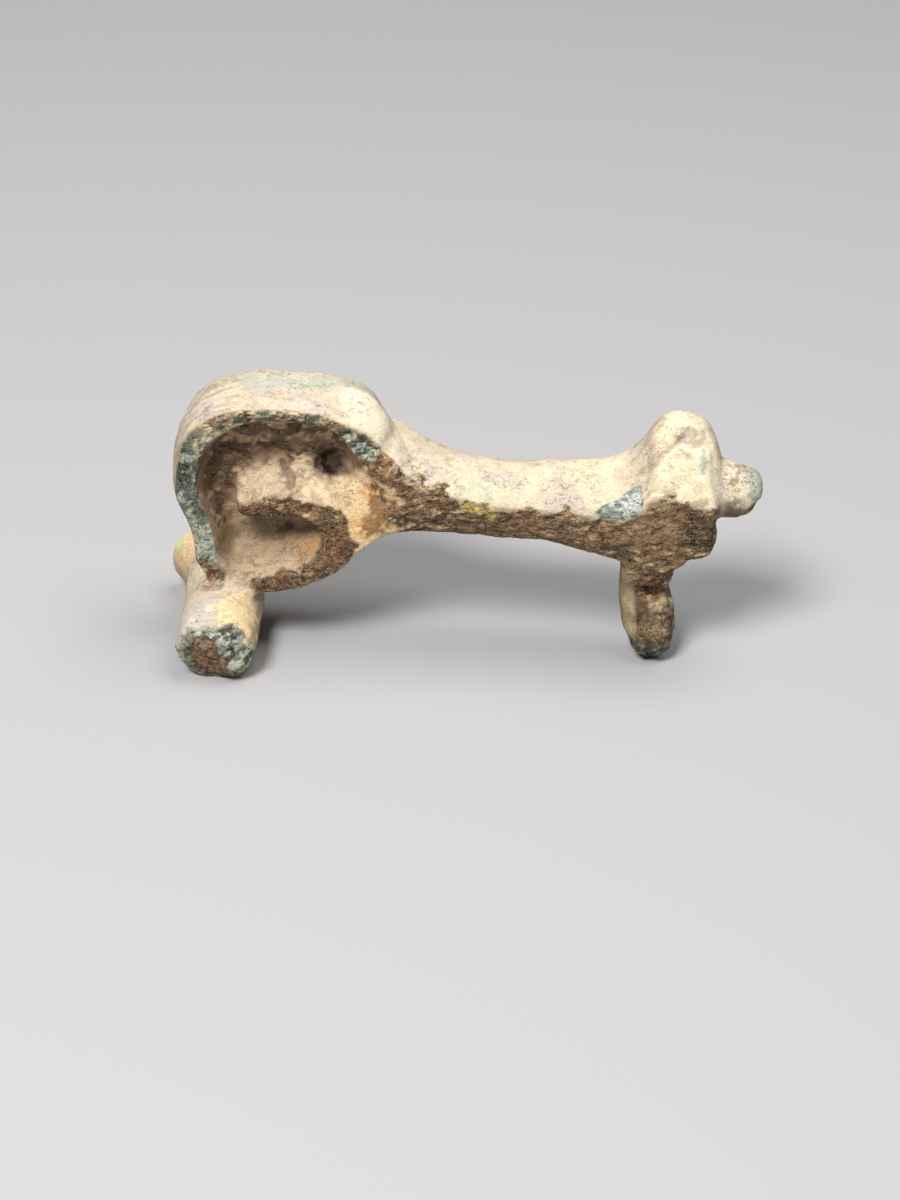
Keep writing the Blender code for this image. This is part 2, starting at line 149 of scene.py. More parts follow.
# Drawn from the side, in X and Z: the scroll's face, the head's hollow, the painted shadow under its band,
# its right shoulder, the line where the pale layer ends above the dark flank, and the green crescent
SCROLL = [(-13.9, 11.0), (-13.05, 11.3), (-12.3, 11.6), (-11.5, 11.85), (-10.6, 11.9), (-9.9, 11.7),
          (-9.2, 11.4), (-8.35, 11.05), (-7.5, 10.6), (-6.9, 9.9), (-6.5, 9.2), (-6.3, 8.5), (-6.5, 7.7),
          (-7.0, 7.0), (-8.0, 6.1), (-9.2, 5.2), (-10.9, 4.4), (-12.8, 4.6), (-13.4, 5.0), (-12.7, 5.55),
          (-11.5, 5.9), (-10.25, 6.3), (-9.2, 6.9), (-8.65, 7.6), (-8.8, 8.6), (-9.25, 9.4), (-9.8, 9.9),
          (-10.6, 10.1), (-12.2, 10.1), (-13.9, 10.1)]
HOLLOW = [(-14.7, 5.2), (-15.3, 7.0), (-15.9, 9.4), (-16.3, 12.0), (-16.3, 14.0), (-15.8, 15.6),
          (-14.8, 16.4), (-13.0, 16.8), (-11.0, 17.0), (-9.4, 16.7), (-8.0, 15.9), (-6.6, 15.0),
          (-5.6, 13.8), (-5.2, 12.2), (-6.4, 9.4), (-7.0, 8.0), (-8.6, 6.3), (-10.5, 5.4), (-12.9, 4.9)]
UNDER_BAND = [(-15.9, 15.7), (-14.4, 16.6), (-11.0, 16.9), (-9.0, 16.4), (-7.5, 15.6), (-6.9, 14.6),
              (-7.6, 13.9), (-8.8, 13.5), (-9.8, 13.4), (-11.2, 13.6), (-12.5, 13.35), (-13.5, 12.6),
              (-14.1, 11.8), (-14.5, 8.4), (-15.2, 9.0), (-15.9, 11.7)]
SHOULDER = [(-8.0, 16.9), (-7.2, 17.1), (-6.2, 16.7), (-5.1, 15.6), (-5.25, 14.8), (-6.2, 15.0),
            (-7.1, 15.6)]
RIDGE = [(-5.2, 15.2), (-4.72, 14.9), (-4.1, 14.5), (-3.15, 13.95), (-1.88, 13.22), (-0.62, 12.65),
         (0.64, 12.2), (2.5, 11.92), (5.0, 11.82), (7.5, 11.7), (9.4, 11.4), (10.6, 11.7), (11.4, 12.4),
         (11.9, 13.0), (12.9, 13.15), (14.2, 12.8), (15.6, 12.7), (16.2, 12.0)]
CRESCENT = [(8.45, 11.8), (8.9, 12.15), (9.5, 12.5), (10.1, 12.9), (10.6, 13.3), (11.2, 13.65), (11.4, 13.1),
            (11.3, 12.4), (10.9, 11.85), (10.3, 11.5), (9.5, 11.35), (8.8, 11.45)]

# Lines over the skin, and the middle of the near arm's broken end
RIM = [(-15.6, -1.93, 5.1), (-15.9, -1.93, 6.3), (-16.1, -1.93, 7.6), (-16.4, -1.93, 9.2),
       (-16.8, -1.93, 10.5), (-17.0, -1.93, 12.0), (-17.0, -1.93, 13.8), (-16.8, -1.93, 15.1),
       (-16.3, -1.93, 16.2), (-15.3, -1.93, 16.9), (-14.2, -1.93, 17.2), (-13.0, -1.93, 17.3),
       (-11.5, -1.93, 17.5), (-10.0, -1.93, 17.4), (-9.0, -1.93, 17.0), (-8.2, -1.93, 16.6),
       (-7.2, -1.9, 16.2), (-6.4, -1.93, 15.8), (-5.8, -1.93, 15.2), (-5.3, -1.93, 14.6),
       (-4.6, -1.93, 13.9)]
WEB_CREASE = [(-7.9, 0.5, 12.8), (-6.9, 0.0, 12.6), (-5.7, -0.8, 12.1)]
TONGUE_GROOVE = [(-11.15, -0.15, 13.3), (-10.85, -0.6, 12.95), (-10.55, -0.95, 12.7), (-10.6, -1.35, 12.35),
                 (-10.2, -1.6, 12.2), (-9.8, -1.7, 12.1)]
NECK_SEAM = [(-4.3, 1.93, 15.15), (-3.8, 0.7, 14.98), (-3.38, -0.23, 14.71), (-3.08, -1.05, 14.36),
             (-2.91, -1.79, 13.89)]
CREST = [(5.5, 1.0, 13.2), (8.1, 1.2, 13.5), (9.5, 1.2, 13.9), (10.5, 1.3, 14.4), (11.5, 0.8, 15.6),
         (12.5, 0.5, 17.2)]
FOOT_CREASE = [(11.3, -1.48, 13.32), (11.55, -1.03, 14.23), (11.86, -0.88, 14.88), (12.31, -0.72, 15.54),
               (12.88, -0.55, 16.12), (13.57, -0.24, 16.77)]
FOOT_CORNER = [(14.9, -0.24, 16.42), (15.01, -0.6, 15.7), (15.14, -1.0, 14.87), (15.27, -1.38, 14.02),
               (15.52, -1.7, 13.14), (15.72, -1.78, 11.72), (15.7, -1.6, 10.3)]
FOOT_SHELF = [(11.75, -2.03, 12.97), (12.34, -2.07, 13.18), (12.84, -2.1, 13.16), (13.22, -2.13, 13.05),
              (14.24, -2.15, 12.76), (14.85, -2.08, 12.83), (15.62, -1.88, 12.67)]
ARM_END = np.array((-14.95, -6.2, 2.45))

# The rim's lower end and the foot's lower corner lean outward. Joints that the casting runs through
# without an edge are evened out
places = places + near([(-15.5, -1.9, 6.6), (-15.2, -1.9, 5.2)], 1.9)[:, None] * (-0.45, 0, -0.2)
places = places + near([(15.5, -1.5, 10.2), (15.3, -1.4, 9.4)], 1.4)[:, None] * (0.4, 0, -0.6)
for line, reach, passes in (([(-6.2, -1.2, 11.0), (-4.6, -1.6, 10.2), (-3.2, -1.6, 11.5)], 2.6, 35),
                            ([(-15.4, -2.0, 5.0), (-13.7, -2.5, 4.6), (-12.9, -2.2, 4.2)], 1.7, 80),
                            ([(-8.3, 0.4, 13.0)], 2.2, 220),
                            ([(-4.6, -1.9, 13.6), (-3.8, -1.9, 12.8)], 1.2, 35),
                            ([(10.8, -0.8, 3.4), (11.6, -1.4, 3.3), (14.2, -1.2, 3.3)], 1.2, 80)):
    share = near(line, reach)[:, None]
    places = places + share * (evened(places, passes) - places)

# Hollows, grooves and swellings, most of them on the near side
facing = outward()
lift = -0.40 * near(TONGUE_GROOVE[:4], 0.42) + 0.16 * near([(-10.2, -1.2, 12.7)], 0.5)
lift -= 0.12 * near(TONGUE_GROOVE[3:], 0.4)
lift -= 0.25 * near([(-8.6, 0.4, 13.3), (-8.0, 0.4, 13.1)], 1.5)
lift -= 0.22 * near(WEB_CREASE, 0.45)
lift += 0.35 * near([(-6.4, 0.6, 17.6), (-5.2, 0.2, 16.5)], 2.2) * fade(facing[:, 2], 0.0, 0.5)
lift += 0.32 * near(CREST, 2.4) * fade(facing[:, 2], 0.0, 0.5)
lift -= 0.10 * near([(12.6, -0.9, 15.6), (13.3, -0.5, 16.3), (14.2, -0.6, 16.1)], 0.3)
lift -= 0.4 * near([(-10.8, 0.12, 8.4)], 0.4) + 0.2 * near([(-11.3, 0.12, 8.3), (-10.6, 0.12, 8.6)], 0.6)
lift -= 0.05 * near(NECK_SEAM, 0.25)
lift -= 0.09 * near(FOOT_CREASE, 0.7) + 0.08 * near(FOOT_CREASE, 0.28)
lift += 0.20 * near(FOOT_CORNER[1:], 0.6)
lift += 0.12 * near(FOOT_SHELF, 0.35)
lift += 0.22 * near([(13.5, -1.0, 15.3)], 1.5) + 0.14 * near([(12.8, -1.5, 14.3)], 1.0)
lift += 0.12 * near([(14.7, -1.4, 14.4)], 0.9)
lift -= 0.50 * near([(12.2, -0.7, 5.5), (13.0, -0.7, 5.4)], 0.75)
lift += 0.34 * near([(13.2, -0.9, 4.5)], 0.8)
lift -= 0.18 * near([(12.6, -1.4, 3.9), (13.1, -1.4, 3.85), (13.9, -1.0, 3.65)], 0.35)
lift -= 0.26 * near([(11.75, -0.5, 6.8), (11.75, -1.0, 4.4), (12.1, -1.1, 2.9)], 0.4)
lift += 0.30 * near([(11.9, -1.0, 1.3), (13.7, -0.9, 1.3)], 0.9)
places = places + lift[:, None] * facing

# Flat breaks: round the ends of both arms, the rim's lower end and the knob
luck = np.random.default_rng(11)
for turn in range(8):
    angle = math.tau * (turn + luck.uniform(-0.3, 0.3)) / 8
    edge = ARM_END + ARM_RADIUS * np.array((math.cos(angle), 0, math.sin(angle)))
    direction = np.array((math.cos(angle), -luck.uniform(0.7, 1.6), math.sin(angle)))
    places = broken(edge - luck.uniform(0.25, 0.55) * direction, direction, 3.2)
for at, direction, reach in (((-17.2, 6.2, 3.6), (-0.2, 0.8, 0.6), 2.2),
                             ((-18.4, 6.0, 1.6), (-0.5, 0.9, -0.3), 1.8),
                             ((-15.9, 6.1, 1.9), (0.6, 0.9, -0.2), 1.7),
                             (ARM_END + (-0.9, 0.55, 1.1), (-0.2, -0.8, 0.75), 2.4),
                             (ARM_END + (1.2, 0.25, -0.3), (0.35, -1, 0.1), 1.8),
                             (ARM_END + (-0.3, 0.22, -0.8), (-0.2, -1, -0.35), 1.7),
                             ((-15.9, -1.75, 5.7), (0.1, -1, -0.55), 1.3),
                             ((18.1, -0.5, 11.9), (0.75, -0.45, -0.6), 1.4)):
    places = broken(np.array(at), direction, reach)

# It rests on the crossbar and the leg, so nothing reaches below 0. The leaning, the evening and the breaks
# have stretched the skin, so it is remade in an even grain once more
places[:, 2] = np.maximum(places[:, 2], 0.0)
outward()
places, links, count, degree = remade(2)

# Where each thing that roughens and colours it lies: the dark flanks, the broken edges, the head's hollow
facing = outward()
x, y, z = places.T
up = facing[:, 2]
aside = np.abs(y - MIDDLE_Y)
near_side = fade(y, 0.3, 0.0)
below_ridge = np.interp(x, *zip(*RIDGE)) - z
sideways = fade(np.where(y < MIDDLE_Y, -facing[:, 1], facing[:, 1] - 0.3), 0.25, 0.6)
crescent = within(CRESCENT, 0.07, 0.06) * fade(y, -0.5, -0.8)
beside_crescent = within(CRESCENT, 0.1, 0.35) * fade(y, -0.3, -0.6)
flank = fade(below_ridge + 0.30 * grain(1.5, 3, 1) + 0.22 * grain(0.5, 4, 2), 0.0, 0.13)
flank *= fade(x + 1.1 * grain(1.6, 4, 12) + 0.4 * grain(0.5, 3, 11), -4.7, -3.9) * fade(x, 16.4, 16.0)
limit = 0.7 * fade(x, 11.6, 12.2) + 1.9 * fade(x, 11.9, 11.3)
flank *= fade(z + 0.8 * grain(1.2, 4, 13) - limit, 5.0, 5.9) * (1 - beside_crescent)
edge = fade(aside + 0.10 * grain(0.6, 3, 14), 2.25, 2.5) * sideways
rim = fade(near(RIM, 1.25, True), 0.08, 0.3) * edge
scroll = within(SCROLL, 0.22, 0.12) * fade(aside + 0.3 * grain(0.7, 3, 22), 1.7, 2.0)
hollow = within(HOLLOW, 0.15, 0.2) * fade(aside, 2.66, 2.5)
shaded = within(UNDER_BAND, 0.3, 0.35)
shaded *= hollow * fade(y, -1.3, -0.9) * fade(y, 0.8, 0.4)
strip = fade(z + 0.35 * grain(0.8, 3, 15), 16.9, 16.2) * fade(x, -14.0, -15.2)
strip *= fade(z + 0.5 * (x + 16) + 0.4 * grain(0.8, 3, 76), 6.2, 6.7)
shoulder = within(SHOULDER)
arm_end = fade(y + 0.3 * grain(0.8, 3, 16), -5.2, -5.6)
arm_end = np.maximum(arm_end, fade(facing[:, 1], -0.5, -0.75) * fade(z, 3.0, 2.2))
arm_end *= fade(near([ARM_END + (0, 0.3, 0)], 3.6), 0.02, 0.15) * fade(y, -4.2, -4.6)
far_end = fade(y + 0.3 * grain(0.8, 3, 81), 5.3, 5.8)
far_end *= fade(facing[:, 1] + 0.2 * grain(0.7, 3, 82), 0.45, 0.7)
core = near([ARM_END + (-0.7, 0, -0.1), ARM_END + (-0.3, 0, -1.2)], 2.1) + 0.25 * grain(1.3, 3, 17)
core = fade(core, 0.42, 0.56) * arm_end * fade(facing[:, 1], -0.40, -0.65)

# Relief of the patina: slow waves, rough crust under the pale layer, ragged edges, flakes and fibres
leg = fade(z, 7.6, 7.2) * fade(x, 9.0, 9.6)
bark = within([(11.2, 8.4), (14.2, 8.4), (13.6, 6.8), (13.2, 5.6), (12.9, 4.95), (12.4, 4.5), (11.75, 4.6),
               (11.45, 5.3)], 0.2, 0.15)
scab = within([(11.75, 3.6), (13.0, 3.75), (14.4, 3.85), (14.4, 2.6), (13.5, 1.9), (12.0, 2.0)], 0.25, 0.15)
bark = np.maximum(bark, scab) * leg * near_side
rough = flank + rim + scroll + far_end + 0.35 * arm_end + 0.25 * hollow + 0.5 * shaded + 0.8 * bark
rough = np.clip(rough, 0, 1) * (0.35 + 0.65 * fade(up, -0.8, -0.35))
fibres = grain(0.32, 3, 20, (2.3, 1.2, 1))
lift = (0.06 - 0.03 * fade(x, 9.5, 11.5)) * grain(2.8, 2, 3)
lift += 0.018 * grain(0.8, 3, 4)
lift += 0.008 * grain(0.3, 2, 5)
lift += rough * (0.065 * grain(0.7, 3, 6) + 0.03 * grain(0.3, 2, 7)) * fade(x, 17.5, 14.5)
lift += (rim + scroll) * 0.05 * grain(0.45, 3, 8)
lift -= 0.05 * flank + 0.05 * crescent
lift -= 0.06 * rough * fade(grain(0.9, 3, 9), 0.2, 0.3)
lift += 0.05 * flank * rough * fibres
lift += 0.12 * arm_end * grain(1.5, 2, 10)
lift += 0.10 * leg * near_side * fade(x, 11.7, 12.2) * grain(0.55, 3, 87) * fade(z, 6.5, 5.5)
places = places + lift[:, None] * facing
places[:, 2] = np.maximum(places[:, 2], 0.0)

# The colours, laid over each other: pale earth, brown dirt, painted shade, dark crust, then the verdigris and
# the stains
facing = outward()
up = facing[:, 2]
proud = np.einsum("ij,ij->i", places - evened(places, 10), facing)
tint = np.empty((count, 3))
tint[:] = (0.60, 0.50, 0.37)


def paint(colour, share):
    """Lays a colour over the skin, as thick as the share at each point says."""
    share = np.clip(share, 0, 1)[:, None]
    tint[:] = tint + share * (np.array(colour) - tint)


def blot(line, reach, seed, size=0.6):
    """How thick an uneven stain lies along a line of places, or round one place."""
    share = near(line, reach)
    return fade(share + 0.5 * grain(size, 4, seed), 0.2, 0.7) * fade(share, 0.0, 0.3)


# Pale earth over the whole skin, in clouds of grey and cream, streaked, and flaking off on the foot
striae = fade(grain(0.30, 3, 21, (4, 0.8, 4)), 0.1, 0.45)
paint((0.52, 0.465, 0.43), 0.7 * fade(grain(2.4, 4, 30), -0.2, 0.5))
paint((0.68, 0.60, 0.42), 0.9 * fade(grain(2.8, 4, 31) + 0.5 * fade(x, -6, -3), 0.0, 0.8))
paint((0.66, 0.585, 0.46), 0.5 * fade(grain(1.1, 4, 32), 0.0, 0.4))
paint((0.44, 0.365, 0.29), 0.3 * fade(grain(0.6, 4, 33, (1.5, 1, 1)), 0.1, 0.6))
paint((0.34, 0.275, 0.215), 0.7 * striae * fade(x + 0.8 * grain(2, 2, 34), -12.5, -15.0) * fade(z, 7, 9))
paint((0.36, 0.28, 0.20), 0.6 * striae * fade(np.abs(x - 11.4), 1.6, 0.6))
# Browner wherever the skin does not face up
paint((0.36, 0.27, 0.18), 0.75 * fade(up + 0.2 * grain(1.3, 3, 35), 0.45, -0.15))
paint((0.90, 0.79, 0.56), 0.8 * fade(x, 11.5, 12.5) * fade(x, 16.2, 15.6) * fade(z, 12.9, 13.6) * near_side)
# Painted light: the head's right shoulder made a brighter cream than the pale earth round it
paint((0.92, 0.82, 0.63), 0.8 * near([(-6.4, 0.6, 17.6), (-5.6, -1.0, 16.3), (-5.0, 0.2, 16.3)], 2.4))
paint((0.36, 0.27, 0.19), 0.55 * near(FOOT_CREASE, 0.3))
flaking = fade(below_ridge, -1.0, -0.1) * (1 - flank) * fade(x, 11.0, 11.8) * fade(x, 16.0, 15.4) * near_side
flakes = grain(0.5, 4, 86, (1.8, 1, 1)) + 0.5 * fade(below_ridge, -0.8, 0)
paint((0.34, 0.24, 0.15), 0.8 * flaking * fade(flakes, 0.1, 0.4))
paint((0.40, 0.33, 0.27), 0.7 * blot([(13.6, -0.1, 16.9), (14.4, -0.2, 16.7)], 0.9, 23, 0.5))
paint((0.46, 0.37, 0.28), 0.6 * blot([(13.3, -0.8, 15.7), (13.9, -0.8, 15.7)], 0.6, 77, 0.5))

# Brown dirt in the hollow of the head, paler where it faces up and cream right of the tongue. It is darkened
# with painted shade below the tongue and at its left, and with painted shadow, partly brown dirt, under the
# band
paint((0.46, 0.345, 0.23), hollow)
paint((0.60, 0.475, 0.325), hollow * fade(up + 0.25 * grain(1.2, 3, 36), 0.25, 0.8))
paint((0.93, 0.74, 0.49), 0.9 * near([(-9.0, -1.2, 12.3), (-7.7, -1.1, 11.7), (-6.4, -1.2, 10.8)], 1.6))
# Painted shade below the tongue, partly brown dirt. Lower down the hollow is lighter again
paint((0.37, 0.275, 0.175), 0.85 * hollow * fade(z, 9.0, 8.4))
paint((0.50, 0.385, 0.255), 0.7 * hollow * fade(z + 0.5 * grain(0.9, 4, 78), 7.2, 6.2))
# Painted shade at the hollow's left side, next to the rim
paint((0.30, 0.205, 0.13), 0.85 * hollow * fade(x + 0.5 * grain(1.2, 3, 37), -13.8, -14.8))
# Painted shadow of the band, darkening the hollow's upper part
paint((0.20, 0.13, 0.08), 0.9 * hollow * fade(z + 0.9 * grain(1.2, 4, 38) + 0.7 * (1 - up), 13.9, 15.4))
# Painted shadow under the band, partly brown dirt, speckled dark and tan
paint((0.23, 0.15, 0.095), 0.88 * shaded)
paint((0.060, 0.032, 0.020), 0.9 * shaded * fade(grain(0.7, 4, 29, (1.6, 1, 1)), 0.05, 0.35))
chips = grain(0.6, 4, 61, (1.8, 1, 1)) - 0.3 * fade(x, -10.2, -11.2)
paint((0.85, 0.60, 0.36), 0.9 * shaded * fade(chips, 0.0, 0.25))

# Painted shade in the pit beside the tongue, along the crease from it to the neck, in the tongue's groove
# and below the scroll
# Painted shade: near black in the pit and above it, up to the band's painted shadow
pit = near([(-9.0, 0.15, 14.3), (-8.0, 0.15, 14.1)], 1.5) + 0.2 * grain(0.6, 4, 84, (1.6, 1, 1))
paint((0.060, 0.034, 0.021), 0.9 * fade(pit, 0.15, 0.7))
pit = near([(-8.6, 0.4, 13.3), (-8.1, 0.4, 13.0)], 1.4) + 0.12 * grain(0.5, 4, 85)
paint((0.020, 0.012, 0.009), fade(pit, 0.15, 0.65))
# Painted shade along the crease
paint((0.10, 0.062, 0.038), 0.85 * near(WEB_CREASE, 0.45))
paint((0.24, 0.14, 0.075), 0.7 * blot([(-7.0, 0.2, 14.2), (-6.0, -0.9, 13.4)], 1.5, 79))
# Painted shade in the tongue's groove
paint((0.13, 0.085, 0.055), 0.8 * fade(near(TONGUE_GROOVE[:4], 0.42), 0.1, 0.6))
# Painted shade below the scroll
paint((0.21, 0.15, 0.098), 0.6 * hollow * near([(-13.0, 0.1, 8.6), (-11.8, 0.1, 8.6), (-9.8, 0.1, 8.5)], 2.6))
paint((0.27, 0.185, 0.12), 0.4 * hollow * fade(grain(0.6, 4, 39), 0.15, 0.5))

# The slope from the web to the neck: cream and orange, with rusty brown at its lower end
slope = near([(-4.7, -1.8, 12.3), (-6.0, -1.1, 11.5), (-5.0, -1.6, 10.0), (-6.2, -1.3, 9.3)], 2.6, True)
paint((1.00, 0.78, 0.46), 0.95 * fade(slope, 0.1, 0.5))
orange = [(-5.3, -1.3, 11.9), (-4.7, -1.7, 10.6), (-5.6, -1.6, 9.8)]
paint((0.88, 0.53, 0.20), 0.8 * blot(orange, 2.0, 40, 0.5))
paint((0.18, 0.072, 0.028), 0.8 * blot(orange, 1.3, 18, 0.35))
paint((0.42, 0.25, 0.11), 0.75 * blot([(-9.6, -0.8, 7.4), (-8.9, -1.4, 8.4)], 1.4, 41))

# Dark crust on the flanks and the broken edges, speckled with earth, with rusty red below it in places
crust = np.clip(flank + rim + scroll + bark + far_end, 0, 1)
paint((0.170, 0.083, 0.040), crust)
darker = grain(2.2, 4, 24, (1.6, 1, 1)) + 0.3 * fibres
darker -= 0.8 * near([(-3.9, -1.9, 12.9), (-1.0, -1.9, 11.9)], 1.9)
paint((0.064, 0.036, 0.021), 0.92 * crust * fade(darker, 0.15, -0.35))
paint((0.31, 0.185, 0.10), 0.85 * crust * fade(grain(1.6, 4, 25, (1.6, 1, 1)) + 0.3 * fibres, 0.0, 0.5))
paint((0.022, 0.013, 0.009), 0.95 * crust * fade(fibres + 0.8 * grain(0.9, 3, 42, (1.6, 1, 1)), 0.0, -0.3))
earthy = fibres + 0.7 * grain(0.8, 3, 43, (1.6, 1, 1)) - 0.2 * scroll
paint((0.52, 0.33, 0.17), 0.75 * crust * fade(earthy, 0.2, 0.5))
chips = grain(0.36, 3, 44, (2.2, 1, 1)) + 0.3 * fade(below_ridge, 1.2, 0.2) - 0.35 * scroll
paint((0.90, 0.70, 0.44), 0.95 * crust * fade(chips, 0.34, 0.46))
rusty = near([(-5.2, -1.9, 14.2), (-4.4, -1.9, 12.9), (-4.0, -1.9, 11.6)], 1.3)
paint((0.33, 0.15, 0.06), 0.65 * crust * rusty)
paint((0.30, 0.205, 0.12), 0.6 * flank * near([(11.5, -2, 10.8), (14.0, -2, 11.6)], 2.6))
paint((0.20, 0.082, 0.034), 0.8 * crust * fade(grain(0.9, 3, 45, (1.6, 1, 1)), 0.25, 0.55))
# Nearly black where the flank faces down
paint((0.040, 0.031, 0.021), 0.9 * flank * fade(evened(up, 20) + 0.12 * grain(0.6, 3, 88), -0.20, -0.50))

# The scroll is darker and rustier, darkest on its underside with painted shade. The bow's middle and the
# foot's face are lighter, all but its right corner
# Painted shade, partly dark crust: the scroll's underside, where it faces down, made darkest
paint((0.055, 0.034, 0.022), 0.8 * scroll * fade(z, 9.0, 9.6) * fade(up + 0.3 * fibres, 0.25, -0.35))
paint((0.070, 0.040, 0.025), (0.45 + 0.3 * fade(x, -9.5, -8.5)) * scroll * fade(z, 10.0, 9.2))
rust = (0.25, 0.105, 0.045)
paint(rust, 0.8 * scroll * blot([(-7.6, -1.93, 9.2), (-7.7, -1.93, 8.0)], 1.4, 46))
paint(rust, 0.8 * scroll * blot([(-11.5, -1.9, 5.9)], 0.9, 46))
paint((0.44, 0.28, 0.15), 0.3 * flank * fade(x, -1.0, 2.0) * fade(x, 11.0, 9.5))
paint((0.42, 0.27, 0.15), 0.75 * flank * near([(11.9, -2, 10.6), (13.2, -2, 11.6)], 2.5))
paint((0.026, 0.015, 0.010), 0.92 * flank * blot([(14.6, -2, 11.3), (15.4, -1.5, 10.0)], 1.8, 47))
paint((0.84, 0.75, 0.48), 0.9 * beside_crescent * (1 - crescent))

# Verdigris: the head's left rim and the lip along its top, the shoulder patch and the crescent on the bow
green = rim * strip
paint((0.12, 0.130, 0.098), green)
above = 0.1 * fade(z, 9.0, 10.5)
paint((0.028, 0.034, 0.027), 0.95 * green * fade(grain(1.5, 4, 48, (1, 1, 1.8)) + above, -0.05, 0.3))
paint((0.54, 0.57, 0.43), 0.9 * green * fade(grain(0.6, 4, 49, (1, 1, 1.8)) - 0.5 * above, 0.18, 0.36))
paint((0.52, 0.56, 0.44), 0.85 * green * fade(np.abs(z - 8.4) + 0.7 * grain(0.6, 3, 50), 1.8, 1.0))
lip = rim * fade(x, -15.6, -14.8) * fade(x, -8.2, -9.2) * near_side
paint((0.54, 0.51, 0.33), 0.85 * lip * fade(grain(0.6, 4, 51, (2, 1, 1)), -0.3, 0.1))
paint((0.045, 0.046, 0.036), 0.95 * lip * fade(grain(0.5, 4, 52, (2.4, 1, 1)), 0.0, 0.3))
patch = shoulder * rim * near_side
paint((0.035, 0.045, 0.036), patch)
pale = grain(0.5, 3, 53, (1.8, 1, 1)) + 0.4 * fade(z, 16.0, 15.0)
paint((0.74, 0.78, 0.60), 0.95 * patch * fade(pale, -0.02, 0.15))
bevel = near([(-16.35, -1.93, 14.5), (-16.1, -1.93, 15.7), (-15.3, -1.93, 16.3), (-14.1, -1.9, 16.6),
              (-12.6, -1.9, 16.8), (-11.1, -1.9, 16.9)], 0.6)
paint((0.66, 0.58, 0.38), 0.85 * fade(bevel, 0.2, 0.6) * near_side * fade(grain(0.5, 3, 19), -0.3, 0.1))
paint((0.54, 0.57, 0.51), crescent)
speck = grain(0.30, 3, 54, (1.6, 1, 1)) - 0.6 * fade(z + 0.3 * grain(1, 3, 62), 12.5, 11.7)
paint((0.10, 0.12, 0.115), 0.75 * crescent * fade(speck, -0.15, -0.45))
paint((0.70, 0.73, 0.66), 0.7 * crescent * fade(speck, 0.05, 0.4))

# Smaller stains: green along the head's crest, yellow and green on the bow, green on the foot and the knob
head_green = blot([(-13.4, 1.6, 17.9), (-9.7, 1.6, 18.2), (-6.2, 2.2, 17.3)], 1.7, 55, 0.5)
paint((0.46, 0.49, 0.41), 0.75 * head_green)
paint((0.80, 0.66, 0.20), blot([(0.3, -1.9, 11.8), (1.3, -1.91, 11.65), (2.1, -1.88, 11.35)], 0.6, 56, 0.4))
paint((0.42, 0.33, 0.24), 0.5 * near(NECK_SEAM, 0.22))
bow_green = blot([(0.28, -1.48, 12.78), (1.09, -1.32, 12.73), (1.86, -1.55, 12.41)], 0.7, 57, 0.4)
paint((0.48, 0.52, 0.40), 0.6 * bow_green)
paint((0.35, 0.42, 0.36), 0.8 * blot([(14.9, -0.8, 16.2), (14.9, -1.1, 15.0)], 0.5, 58, 0.4))
paint((0.72, 0.66, 0.54), near([(15.15, -1.0, 14.9), (15.3, -1.4, 14.0)], 0.35))
paint((0.68, 0.60, 0.46), 0.8 * fade(x, 16.0, 16.6))
paint((0.32, 0.23, 0.15), 0.75 * fade(x, 16.2, 16.8) * fade(grain(0.5, 4, 75, (1, 1.6, 1)), 0.2, 0.4))
# Darker brown where the knob faces down: partly its own brown, partly painted shade
paint((0.15, 0.10, 0.06), 0.85 * fade(x, 16.2, 16.8) * fade(up + 0.4 * grain(0.6, 3, 60), 0.2, -0.3))
tip = fade(x + 0.4 * grain(0.7, 4, 59), 17.7, 18.1) * fade(z, 11.6, 12.2)
paint((0.45, 0.50, 0.41), 0.85 * tip)

# The leg: dark brown, partly painted shade under the foot, with an olive strip down its left, painted shade
# in the groove beside it, a pale swelling below the dark hollow, and a grey-green end
smooth = leg * (1 - bark)
# The leg's own dark brown, and painted shade from the foot above it
paint((0.21, 0.15, 0.088), 0.9 * smooth)
olive = near([(10.9, -0.6, 7.2), (11.0, -0.9, 6.0), (11.4, -1.3, 2.7)], 1.1)
paint((0.31, 0.24, 0.145), 0.85 * smooth * fade(olive, 0.1, 0.5))
paint((0.42, 0.31, 0.18), smooth * fade(near([(13.0, -1.0, 4.5), (13.9, -0.5, 4.4)], 0.8), 0.1, 0.7))
shin = leg * near_side
# Painted shade in the groove right of the olive strip
gutter = near([(11.9, -0.8, 5.2), (12.1, -1.4, 3.4)], 0.7)
paint((0.075, 0.047, 0.029), 0.85 * shin * fade(gutter, 0.1, 0.6))
paint((0.13, 0.085, 0.050), 0.85 * shin * fade(z + 0.4 * grain(0.8, 4, 72), 3.9, 3.5) * fade(x, 11.7, 12.1))
paint((0.38, 0.27, 0.16), 0.75 * shin * fade(grain(0.6, 4, 73), 0.15, 0.35) * fade(z, 3.8, 3.3))
paint((0.050, 0.056, 0.043), 0.9 * leg * fade(z + 0.5 * grain(0.6, 4, 63), 2.5, 1.6))

